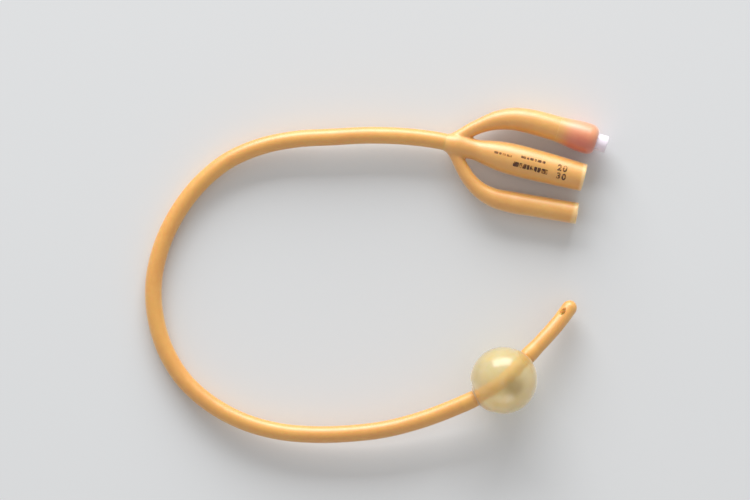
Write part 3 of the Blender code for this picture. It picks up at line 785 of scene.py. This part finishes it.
def makeSleeve():
    # It swells from a thin rolled edge, rounds over its shoulder and closes on the luer end.
    hole, arm, lip, rings = sleeve["hole"], sleeve["armRadius"], sleeve["lip"], sleeve["rings"]
    corner = (hole + sleeve["shoulderFrom"], sleeve["end"] - sleeve["shoulder"])
    rollStart = sleeve["start"] + sleeve["roll"]
    profile = arc((hole + lip, sleeve["end"] - lip), lip, lip, start=180, end=90, count=5)
    profile += arc(corner, sleeve["radius"] - corner[0], sleeve["shoulder"], start=88, end=0, count=rings)
    for index in range(1, rings + 1):
        share = index / rings
        radius = mix(sleeve["radius"], arm + sleeve["edge"], ease(share) ** sleeve["fullness"])
        profile.append((radius, mix(corner[1], rollStart, share)))
    profile += arc((arm, rollStart), sleeve["edge"], sleeve["roll"], start=-20, end=-90, count=4)
    under, inset = sleeve["inner"]
    profile.append((arm - under, sleeve["start"] + inset))
    profile.append((arm - under, sleeve["end"] - sleeve["endWall"]))
    profile.append((hole, sleeve["end"] - sleeve["endWall"]))
    return smoothShade(turned("sleeveSkin", scaled(profile), valveAxis), angle=50)


def makeValve():
    luer, reach, rounding = valve["luer"], valve["reach"], valve["rounding"]
    profile = arc((luer - rounding, reach - rounding), rounding, rounding, start=90, end=0, count=6)
    radius, low, high = valve["flange"]
    stem = valve["stem"][0]
    profile += [(luer, high), (radius, high), (radius, low), (stem, low)]
    proud, length, steep = valve["barb"]
    for place in valve["barbsAt"]:
        profile += [(stem, place), (stem + proud, place - steep), (stem, place - length)]
    profile += [valve["stem"], (valve["chamber"], valve["stem"][1])]
    ledgeTop = reach - valve["depth"]
    hole, thick = valve["ledge"]
    profile += [(valve["chamber"], ledgeTop - thick), (hole, ledgeTop - thick)]
    profile += [(hole, ledgeTop), (valve["bore"] - valve["depth"] * valve["taper"] / 2, ledgeTop)]
    wide, deep = valve["mouth"]
    profile += [(valve["bore"], reach - deep), (valve["bore"] + wide, reach)]
    return smoothShade(turned("valveStub", scaled(profile), valveAxis), angle=40)


spring = {
    "radius": 1.11,             # of the wire's middle
    "wire": 0.28,
    "turns": 5.5,
    "inner": -10.76,
    "outer": -3.94,
    "seat": -11.0,              # the retainer's face, which the spring presses on
    "pressed": 0.785,           # its length with the plunger pushed in, as a share
    "pointsPerTurn": 28,
    "sides": 12,
}


def makeSpring():
    count = round(spring["turns"] * spring["pointsPerTurn"])
    radius = spring["radius"]
    places = []
    for index in range(count + 1):
        turn = 2 * math.pi * index / spring["pointsPerTurn"]
        height = mix(spring["inner"], spring["outer"], index / count)
        spot = Vector((radius * math.cos(turn), radius * math.sin(turn), height))
        places.append(valveAxis @ (spot * mm))
    radii = [spring["wire"] / 2 * mm] * len(places)
    coil = tube("springWire", places, radii, spring["sides"], twist="MINIMUM")
    return smoothShade(coil, angle=50)


# print on the drain funnel: plain numbers and rows of dashes, as (x, y) in millimetres from the junction

marks = {
    "lift": 0.02 * mm,
    "thickness": 0.03 * mm,
    "above": 20 * mm,           # where the rays that find the surface start
    "corner": 0.22,             # a dash's corner, as a share of its shorter side
    "longestEdge": 0.5,         # in millimetres, short enough for the print to follow the curve
    "halvings": 5,              # the most times that an edge is halved
    "weld": 0.002,
    "fontSize": 1.38,           # for each unit of a number's height
    "fontWeight": 0.15,
    "fontSpacing": 1.3,
    "numbers": [("20", 44.6, 0.2, 2.4), ("30", 44.9, -3.0, 2.4)],   # with x, y and height
    "bold": {
        "start": 27.2,
        "y": -1.7,
        "height": 1.9,
        "gap": 0.24,
        "widths": (2.3, 1.1, 1.5, 1.0, 1.4, 1.2, 1.3, 2.6),
    },
    "thin": {
        "start": 29.6,
        "y": 1.75,
        "height": 1.0,
        "gap": 0.4,
        "widths": (2.0, 0.9, 1.4, 0.8, 1.6, 1.2),
    },
    "faint": {
        "start": 18.9,
        "y": 0.9,
        "height": 0.9,
        "gap": 0.45,
        "widths": (1.6, 0.9, 1.3, 2.0),
    },
}


def flatMark(shape, x, y, width, height):
    made = bmesh.ops.create_grid(shape, x_segments=1, y_segments=1, size=0.5)
    bmesh.ops.scale(shape, verts=made["verts"], vec=(width, height, 1))
    bmesh.ops.translate(shape, verts=made["verts"], vec=(x + width / 2, y, 0))
    bmesh.ops.bevel(
        shape, geom=made["verts"], offset=min(width, height) * marks["corner"], offset_type="OFFSET",
        segments=3, profile=0.5, affect="VERTICES", material=-1,
    )


def addNumber(shape, text, x, y, size):
    curve = bpy.data.curves.new("number", "FONT")
    curve.body = text
    curve.size = size * marks["fontSize"]
    curve.offset = marks["fontWeight"]
    curve.space_character = marks["fontSpacing"]
    curve.resolution_u = 4
    holder = newObject("number", curve)
    evaluated = holder.evaluated_get(bpy.context.evaluated_depsgraph_get())
    mesh = bpy.data.meshes.new_from_object(evaluated)
    mesh.transform(Matrix.Translation((x, y, 0)))
    shape.from_mesh(mesh)
    bpy.data.objects.remove(holder)
    bpy.data.curves.remove(curve)
    bpy.data.meshes.remove(mesh)


def makeMarks(name, rows, numbers, carrier):
    # Laid out flat, cut fine, then dropped onto the carrier and given a thickness.
    shape = bmesh.new()
    for row in rows:
        x = row["start"]
        for width in row["widths"]:
            flatMark(shape, x, row["y"], width, row["height"])
            x += width + row["gap"]
    for text, x, y, size in numbers:
        addNumber(shape, text, x, y, size)
    bmesh.ops.remove_doubles(shape, verts=shape.verts, dist=marks["weld"])
    bmesh.ops.triangulate(shape, faces=shape.faces)
    for _ in range(marks["halvings"]):
        longEdges = [edge for edge in shape.edges if edge.calc_length() > marks["longestEdge"]]
        if not longEdges:
            break
        bmesh.ops.subdivide_edges(shape, edges=longEdges, cuts=1)
        bmesh.ops.triangulate(shape, faces=shape.faces)
    surface = BVHTree.FromObject(carrier, bpy.context.evaluated_depsgraph_get())
    for vert in shape.verts:
        x, y, _ = fromJunction(vert.co.x, vert.co.y, 0)
        place, normal, _, _ = surface.ray_cast(Vector((x, y, marks["above"])), Vector((0, 0, -1)))
        vert.co = place + normal * marks["lift"]
    for face in shape.faces:
        face.normal_update()
        if face.normal.z < 0:
            face.normal_flip()
    mesh = bpy.data.meshes.new(name)
    shape.to_mesh(mesh)
    shape.free()
    piece = newObject(name, mesh)
    solid = piece.modifiers.new("ink", "SOLIDIFY")
    solid.thickness = marks["thickness"]
    solid.offset = -1
    return applyAll(piece)


# finishes

latexColours = {
    "amber": (0.79, 0.39, 0.052),
    "deep": (0.71, 0.29, 0.03),
    "pale": (0.86, 0.51, 0.12),
    "lip": (0.90, 0.64, 0.28),      # painted light: the thin wall at an open mouth, made paler as if light soaked through it
    "lipGlowFade": (-1.8 * mm, -0.4 * mm),      # where it starts and is full, along the arm
    "inside": (1.0, 0.74, 0.34),    # painted light: an eye's walls made paler, as if light soaked through them
    "eyeGlowFade": (2.2 * mm, 2.9 * mm),     # from the shaft's middle under the eye
}
skinColours = {
    "thin": (0.90, 0.80, 0.37),
    "thick": (0.85, 0.65, 0.18),
    "olive": (0.60, 0.51, 0.14),
    "clear": 0.2,                   # how much one face of the stretched wall hides
    "paintedShade": (0.42, 0.31, 0.06),    # painted shade: the shaft's shadow on the ball's inner wall, over the shaft's right side
    "paintedShadeAt": (1.8 * mm, 4.1 * mm),        # ahead along the shaft and to its right
    "paintedShadeEdge": (1.6 * mm, 6.6 * mm),
    "bondFade": (2.8 * mm, 6.2 * mm),       # amber where the shaft leaves the ball, from that place
    "rimFade": (-0.3 * mm, 0.9 * mm),       # and everywhere past the ball's surface
}
pinkColours = {
    "pink": (0.80, 0.33, 0.125),
    "deep": (0.60, 0.07, 0.025),    # painted shade: mostly the deeper red of the side away from the light
    "edgeFade": (-13.8 * mm, -7.0 * mm),    # where the sleeve starts to hide the arm, and hides it
    "shadeSideFade": (-4.5 * mm, 4.0 * mm),      # across, from the lit pink side to the painted shade of the far one
}
trimColours = {     # two tones of each, which a fine noise mixes
    "plastic": ((0.87, 0.79, 0.91), (0.94, 0.86, 0.97)),
    "rubber": ((0.03, 0.03, 0.032), (0.06, 0.06, 0.062)),
    "steel": ((0.5, 0.5, 0.52), (0.66, 0.66, 0.68)),
}
inkColours = {      # with how strongly the ink covers
    "bold": ((0.07, 0.022, 0.008), 0.95),
    "light": ((0.10, 0.035, 0.012), 0.8),
    "faint": ((0.22, 0.09, 0.03), 0.6),
}


def amberBase(finish):
    # Slow drifts of tone from dipping, and fine mottling.
    drift = finish.between(finish.noise(45), 0.35, 0.68)
    mottle = finish.between(finish.noise(420, 3.0, 0.6), 0.3, 0.75)
    tone = finish.mixed(drift * 0.45, latexColours["amber"], latexColours["deep"])
    return finish.mixed(mottle * 0.22, tone, latexColours["pale"])


def latexFinish(name, soft=0.6, sheen=0.3, coat=(0.6, 0.34), holes=(), lips=()):
    # Paler inside a hole and at a mouth's lip: painted light, standing in for light that soaks through
    # the thin wall.
    finish = Finish(name)
    colour = amberBase(finish)
    # Painted light: each eye's walls are made paler.
    for hole in holes:
        inside = 1 - finish.between(finish.distance(hole), *latexColours["eyeGlowFade"])
        colour = finish.mixed(inside, colour, latexColours["inside"])
    # Painted light: each mouth's lip is made paler.
    for mouth, outward in lips:
        lip = finish.between(finish.along(mouth, outward), *latexColours["lipGlowFade"])
        colour = finish.mixed(lip * 0.65, colour, latexColours["lip"])
    ripple = finish.noise(260)
    grain = finish.noise(1500, 2.0, 0.6)
    finish.bumps((ripple, 0.35, 0.25 * mm), (grain, 0.25, 0.05 * mm))
    finish.shader.subsurface_method = "RANDOM_WALK"
    return finish.give(
        Base_Color=colour,
        Roughness=0.44 + finish.noise(180) * 0.14,
        Specular_IOR_Level=1.0,
        Subsurface_Weight=soft,
        Subsurface_Radius=(1.0, 0.4, 0.12),
        Subsurface_Scale=1.4 * mm,
        Sheen_Weight=sheen,
        Sheen_Roughness=0.45,
        Sheen_Tint=(1.0, 0.95, 0.9),
        Coat_Weight=coat[0],
        Coat_Roughness=coat[1],
    )


def skinFinish(exits):
    # Stretched thin over the ball, thick and amber where the shaft leaves it, with a painted shadow
    # beside the shaft.
    finish = Finish("stretchedLatex")
    first, second = [finish.distance(exit) for exit in exits]
    nearest = finish.maths("MINIMUM", first, second)
    fromMiddle = finish.distance(tuple(route.at(balloonAt)))
    low, high = [balloon["radius"] + edge for edge in skinColours["rimFade"]]
    outside = finish.between(fromMiddle, low, high)
    bonded = finish.maths("MAXIMUM", 1 - finish.between(nearest, *skinColours["bondFade"]), outside)
    cloud = finish.between(finish.noise(90, 3.0), 0.3, 0.7)
    skin = finish.mixed(cloud * 0.5, skinColours["thin"], skinColours["thick"])
    drift = finish.between(finish.noise(55), 0.42, 0.66)
    skin = finish.mixed(drift * 0.6, skin, skinColours["olive"])
    # A painted shadow: the shaft's shade on the ball's inner wall, darker and more opaque, ahead of the
    # middle and to the shaft's right.
    ahead, aside = skinColours["paintedShadeAt"]
    rise = math.sqrt(balloon["radius"] ** 2 - ahead**2 - aside**2)
    paintedShadeAt = route.at(balloonAt) + route.tangent(balloonAt) * ahead - route.left(balloonAt) * aside
    paintedShadeAt.z += rise
    paintedShade = 1 - finish.between(finish.distance(tuple(paintedShadeAt)), *skinColours["paintedShadeEdge"])
    skin = finish.mixed(paintedShade * 0.8, skin, skinColours["paintedShade"])
    hides = cloud * 0.06 + paintedShade * 0.25 + skinColours["clear"]
    finish.bumps((finish.noise(260), 0.1, 0.06 * mm))
    finish.shader.subsurface_method = "RANDOM_WALK"
    return finish.give(
        Base_Color=finish.mixed(bonded, skin, amberBase(finish)),
        Alpha=bonded + (1 - bonded) * hides,
        Roughness=0.16 + finish.noise(240) * 0.08 + bonded * 0.25,
        Specular_IOR_Level=0.8,
        Subsurface_Weight=1.0,
        Subsurface_Radius=(1.0, 0.75, 0.35),
        Subsurface_Scale=0.6 * mm,
        Sheen_Weight=1.0,
        Sheen_Roughness=0.35,
        Sheen_Tint=(1.0, 0.97, 0.84),
        Coat_Weight=0.8 - bonded * 0.3,
        Coat_Roughness=0.1,
    )


def pinkFinish(origin, outward, across):
    # The thin edge lets the amber arm show through, and painted shade turns the side away from the light
    # a deeper red.
    finish = Finish("pinkSleeve")
    along = finish.along(origin, outward)
    thick = finish.between(along, *pinkColours["edgeFade"])
    # Painted shade: deeper red across towards the side away from the light.
    run = finish.between(finish.along(origin, across), *pinkColours["shadeSideFade"])
    cloud = finish.between(finish.noise(160, 3.0), 0.3, 0.7)
    pink = finish.mixed(run * 0.8 + cloud * 0.2, pinkColours["pink"], pinkColours["deep"])
    finish.bumps((finish.noise(320), 0.3, 0.2 * mm))
    return finish.give(
        Base_Color=finish.mixed(thick * 0.9 + 0.1, amberBase(finish), pink),
        Roughness=0.4 + finish.noise(220) * 0.14,
        Specular_IOR_Level=1.0,
        Subsurface_Weight=0.3,
        Subsurface_Radius=(1.0, 0.4, 0.25),
        Subsurface_Scale=1.2 * mm,
        Sheen_Weight=0.75,
        Sheen_Roughness=0.5,
        Sheen_Tint=(1.0, 0.95, 0.92),
        Coat_Weight=0.8,
        Coat_Roughness=0.4,
    )


def plasticFinish(name, soak):
    finish = Finish(name)
    cloud = finish.noise(300)
    finish.bumps((finish.noise(900), 0.12, 0.05 * mm))
    return finish.give(
        Base_Color=finish.mixed(cloud, *trimColours["plastic"]),
        Roughness=0.28 + cloud * 0.12,
        Subsurface_Weight=0.9,
        Subsurface_Radius=(1.0, 1.0, 1.0),
        Subsurface_Scale=soak,
    )


def rubberFinish():
    finish = Finish("sealRubber")
    grain = finish.noise(1200, 3.0)
    finish.bumps((grain, 0.3, 0.05 * mm))
    return finish.give(
        Base_Color=finish.mixed(grain, *trimColours["rubber"]),
        Roughness=0.55 + grain * 0.2,
    )


def steelFinish():
    finish = Finish("drawnSteel")
    draw = finish.noise(2500)
    finish.bumps((draw, 0.2, 0.02 * mm))
    return finish.give(
        Base_Color=finish.mixed(draw, *trimColours["steel"]),
        Metallic=1.0,
        Roughness=0.25 + draw * 0.15,
    )


def inkFinish(name, colour, strength):
    # Stamped ink, a little worn and uneven.
    finish = Finish(name)
    wear = finish.between(finish.noise(700, 3.0, 0.6), 0.28, 0.55)
    return finish.give(
        Base_Color=finish.mixed(wear, latexColours["deep"], colour),
        Alpha=wear * strength + (1 - strength) * 0.4,
        Roughness=0.5 + wear * 0.1,
    )


def dress(thing, *materials):
    for material in materials:
        thing.data.materials.append(material)


# everything put together

shaftTube = makeShaft()
print("shaft made")
balloonSkin = makeBalloon()
print("balloon made")
funnelBody = makeFunnel()
print("funnel made")
sleeveSkin = makeSleeve()
valveStub = makeValve()
springWire = makeSpring()
print("valve made")
boldMarks = makeMarks("boldMarks", [marks["bold"]], [], funnelBody)
lightMarks = makeMarks("lightMarks", [marks["thin"]], marks["numbers"], funnelBody)
faintMarks = makeMarks("faintMarks", [marks["faint"]], [], funnelBody)
print("print made")

valveOrigin = fillLine.at(fillLine.length)
valveOut = fillLine.tangent(fillLine.length)
mouths = []
for line in (drainLine, rinseLine):
    mouths.append((tuple(line.at(line.length)), tuple(line.tangent(line.length))))
holes = [tuple(route.at(route.length - eye["fromTip"])) for eye in eyes]
dipped = latexFinish("dippedLatex", holes=holes)
innerPlastic = plasticFinish("innerPlastic", soak=0.3 * mm)
dress(shaftTube, dipped)
dress(funnelBody, latexFinish("mouldedLatex", sheen=0.7, coat=(0.9, 0.42), lips=mouths))
ballEnds = [tuple(route.at(balloonAt + side * balloon["radius"])) for side in (-1, 1)]
dress(balloonSkin, skinFinish(ballEnds), latexFinish("cuffLatex", soft=0.0))
# The sleeve's side away from the light, which takes the painted shade.
shadedSide = -fillLine.left(fillLine.length)
dress(sleeveSkin, pinkFinish(tuple(valveOrigin), tuple(valveOut), tuple(shadedSide)))
dress(valveStub, plasticFinish("whitePlastic", soak=1.3 * mm))
dress(springWire, steelFinish())
dress(boldMarks, inkFinish("boldInk", *inkColours["bold"]))
dress(lightMarks, inkFinish("lightInk", *inkColours["light"]))
dress(faintMarks, inkFinish("faintInk", *inkColours["faint"]))
for node, material in (
    ("valve_plunger", innerPlastic),
    ("spring_retainer", innerPlastic),
    ("valve_seal", rubberFinish()),
):
    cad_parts[node].data.materials[0] = material
print("finishes given")

for piece, node, slot in (
    (shaftTube, "shaft", "amber_latex"),
    (balloonSkin, "balloon", "balloon_latex"),
    (funnelBody, "funnel", "amber_latex"),
    (sleeveSkin, "colour_sleeve", "pink_latex"),
    (valveStub, "valve_body", "white_plastic"),
    (springWire, "valve_spring", "spring_steel"),
):
    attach(piece, "catheter")
    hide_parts(node)
for piece in (boldMarks, lightMarks, faintMarks):
    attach(piece, "catheter")

springSeat = valveOrigin + valveOut * spring["seat"] * mm
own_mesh(springWire)

shaftLine = [tuple(route.at(spot)) for spot in route.evenly(shaft["cordStep"])]

shape = bmesh.new()
bmesh.ops.create_grid(shape, x_segments=1, y_segments=1, size=lightSetup["tableHalf"])
table = fromShape("table", shape)
tableFinish = Finish("paleTable")
dress(table, tableFinish.give(Base_Color=lightSetup["floor"], Roughness=1.0, Specular_IOR_Level=0.0))
